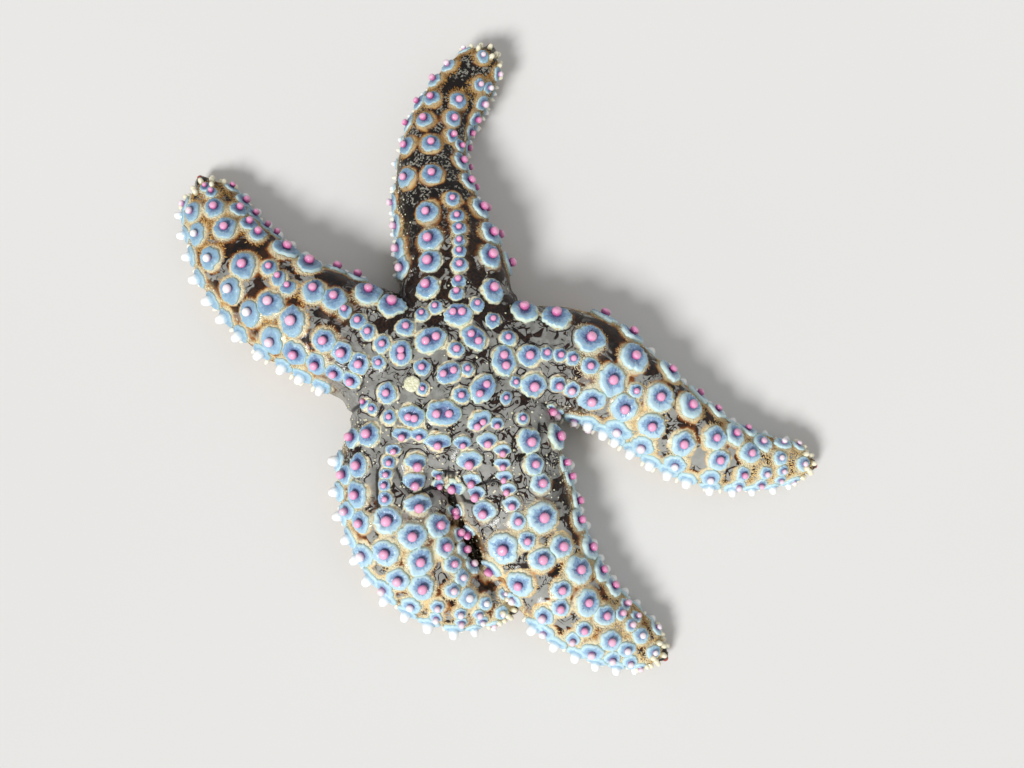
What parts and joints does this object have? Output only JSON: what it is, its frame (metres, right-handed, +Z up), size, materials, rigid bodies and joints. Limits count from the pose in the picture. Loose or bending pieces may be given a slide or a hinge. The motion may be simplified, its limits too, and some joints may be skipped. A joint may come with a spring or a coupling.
{
  "type": "giant-spined sea star",
  "caption": "Life-size sea star with stout curving arms, bluish skin set with pink knob-like spines, a sieve plate and tube-foot grooves, lying flat on its underside.",
  "frame": {"origin": "on the floor, under the middle of the box round the whole animal", "axes": "+Z up, away from the floor; +Y towards the straight arm that reaches to the top of the view from above; +X towards the long arm on the right"},
  "size_m": [0.178, 0.1756, 0.0279],
  "materials": {
    "skin": "gloss",
    "cushion": "gloss",
    "spine": "gloss",
    "fringe": "satin",
    "sieve_plate": "matte",
    "tube_feet": "gloss",
    "lip": "satin",
    "eyespot": "satin"
  },
  "bodies": {
    "root": {"disc": "skin", "madreporite": "sieve_plate", "mouth": "lip", "arm_north_base": "skin", "arm_north_middle": "skin", "arm_north_tip": "skin", "eyespot_north": "eyespot", "arm_west_base": "skin", "arm_west_middle": "skin", "arm_west_tip": "skin", "eyespot_west": "eyespot", "arm_southwest_base": "skin", "arm_southwest_middle": "skin", "arm_southwest_tip": "skin", "eyespot_southwest": "eyespot", "arm_southeast_base": "skin", "arm_southeast_middle": "skin", "arm_southeast_tip": "skin", "eyespot_southeast": "eyespot", "arm_east_base": "skin", "arm_east_middle": "skin", "arm_east_tip": "skin", "eyespot_east": "eyespot"}
  },
  "joints": []
}
